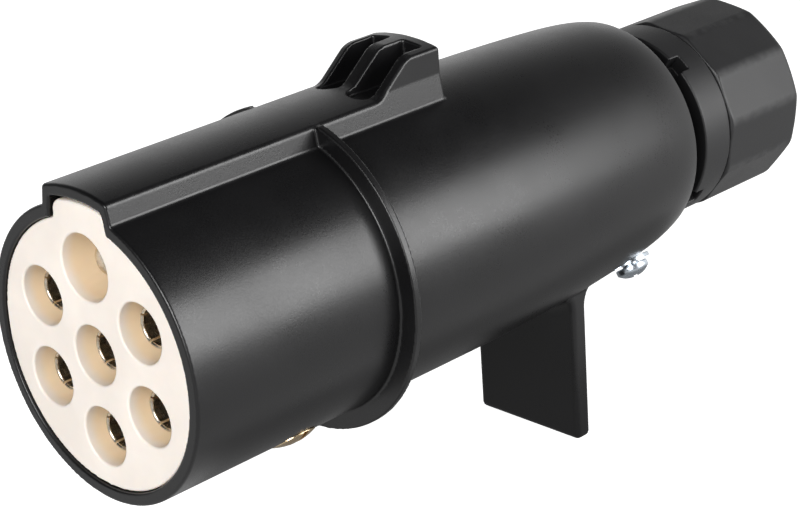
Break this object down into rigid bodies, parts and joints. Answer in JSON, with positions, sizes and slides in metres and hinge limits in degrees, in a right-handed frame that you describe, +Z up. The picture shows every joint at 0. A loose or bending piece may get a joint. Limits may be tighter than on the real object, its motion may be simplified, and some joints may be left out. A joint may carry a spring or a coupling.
{
  "type": "trailer wiring connector",
  "caption": "Round trailer wiring plug: black housing with key rib, latch block and fin, cream contact insert, screw terminals and a cable gland with a faceted nut.",
  "frame": {"origin": "middle of the base: half way along the plug, under its axis, at the foot of the fin", "axes": "+Y along the plug's axis from the mating face to the cable end, +Z up through the key rib, +X to the right seen from the mating face"},
  "size_m": [0.05, 0.14, 0.0738],
  "materials": {
    "housing_black": "satin moulded polyamide with a very fine grain",
    "gland_black": "satin moulded polyamide",
    "insert_cream": "smooth moulded polyamide",
    "contact_nickel": "nickel-plated brass",
    "plain_steel": "bright steel",
    "plated_brass": "tin-plated brass",
    "zinc_plate": "blue zinc plate",
    "seal_rubber": "smooth rubber"
  },
  "bodies": {
    "plug": {"housing": "housing_black", "contact_insert": "insert_cream", "retaining_plate": "insert_cream", "contact_socket_1": "contact_nickel", "contact_socket_2": "contact_nickel", "contact_socket_3": "contact_nickel", "contact_socket_4": "contact_nickel", "contact_socket_5": "contact_nickel", "contact_socket_6": "contact_nickel", "contact_pin": "contact_nickel", "spring_sleeve_1": "plain_steel", "spring_sleeve_2": "plain_steel", "spring_sleeve_3": "plain_steel", "spring_sleeve_4": "plain_steel", "spring_sleeve_5": "plain_steel", "spring_sleeve_6": "plain_steel", "support_ring": "gland_black", "gland_body": "gland_black", "gland_o_ring": "seal_rubber", "cable_seal": "seal_rubber"},
    "terminal_screw_1": {"terminal_screw_1": "plain_steel"},
    "terminal_screw_2": {"terminal_screw_2": "plain_steel"},
    "terminal_screw_3": {"terminal_screw_3": "plain_steel"},
    "terminal_screw_4": {"terminal_screw_4": "plain_steel"},
    "terminal_screw_5": {"terminal_screw_5": "plain_steel"},
    "terminal_screw_6": {"terminal_screw_6": "plain_steel"},
    "terminal_screw_7": {"terminal_screw_7": "plain_steel"},
    "insert_screw_right": {"insert_screw_right": "plated_brass"},
    "insert_screw_left": {"insert_screw_left": "plated_brass"},
    "tab_washer_right": {"tab_washer_right": "zinc_plate"},
    "rear_screw_right": {"rear_screw_right": "zinc_plate"},
    "tab_washer_left": {"tab_washer_left": "zinc_plate"},
    "rear_screw_left": {"rear_screw_left": "zinc_plate"},
    "friction_ring": {"friction_ring": "plain_steel"},
    "gland_nut": {"gland_nut": "gland_black"}
  },
  "joints": [
    {"name": "terminal_1_back_out", "type": "slide", "parent": "plug", "child": "terminal_screw_1", "axis": [0.866, 0, 0.5], "range_m": [0, 0.0015]},
    {"name": "terminal_2_back_out", "type": "slide", "parent": "plug", "child": "terminal_screw_2", "axis": [0.866, 0, -0.5], "range_m": [0, 0.0015]},
    {"name": "terminal_3_back_out", "type": "slide", "parent": "plug", "child": "terminal_screw_3", "axis": [0, 0, -1], "range_m": [0, 0.0015]},
    {"name": "terminal_4_back_out", "type": "slide", "parent": "plug", "child": "terminal_screw_4", "axis": [-0.866, 0, -0.5], "range_m": [0, 0.0015]},
    {"name": "terminal_5_back_out", "type": "slide", "parent": "plug", "child": "terminal_screw_5", "axis": [-0.866, 0, 0.5], "range_m": [0, 0.0015]},
    {"name": "terminal_6_back_out", "type": "slide", "parent": "plug", "child": "terminal_screw_6", "axis": [1, 0, 0], "range_m": [0, 0.0015]},
    {"name": "terminal_7_back_out", "type": "slide", "parent": "plug", "child": "terminal_screw_7", "axis": [0, 0, 1], "range_m": [0, 0.0015]},
    {"name": "insert_screw_right_back_out", "type": "slide", "parent": "plug", "child": "insert_screw_right", "axis": [0.5299, 0, -0.848], "range_m": [0, 0.0063]},
    {"name": "insert_screw_left_back_out", "type": "slide", "parent": "plug", "child": "insert_screw_left", "axis": [-0.5299, 0, -0.848], "range_m": [0, 0.0063]},
    {"name": "rear_screw_right_lift", "type": "slide", "parent": "plug", "child": "tab_washer_right", "axis": [0.5299, 0, -0.848], "range_m": [0, 0.006]},
    {"name": "rear_screw_right_turn", "type": "hinge", "parent": "tab_washer_right", "child": "rear_screw_right", "pos_m": [0.01113, 0.0306, 0.02639], "axis": [0.5299, 0, -0.848], "range_deg": [0, 4320.1]},
    {"name": "rear_screw_left_lift", "type": "slide", "parent": "plug", "child": "tab_washer_left", "axis": [-0.5299, 0, -0.848], "range_m": [0, 0.006]},
    {"name": "rear_screw_left_turn", "type": "hinge", "parent": "tab_washer_left", "child": "rear_screw_left", "pos_m": [-0.01113, 0.0306, 0.02639], "axis": [-0.5299, 0, -0.848], "range_deg": [0, 4320.1]},
    {"name": "gland_nut_feed", "type": "slide", "parent": "plug", "child": "friction_ring", "axis": [0, 1, 0], "range_m": [0, 0.009]},
    {"name": "gland_nut_turn", "type": "hinge", "parent": "friction_ring", "child": "gland_nut", "pos_m": [0, 0.06, 0.0442], "axis": [0, 1, 0], "range_deg": [0, 2160]}
  ],
  "couplings": [
    {"joint": "rear_screw_right_turn", "follows": "rear_screw_right_lift", "rad_per_m": 12566},
    {"joint": "rear_screw_left_turn", "follows": "rear_screw_left_lift", "rad_per_m": 12566},
    {"joint": "gland_nut_feed", "follows": "gland_nut_turn", "m_per_rad": 0.00023873}
  ]
}
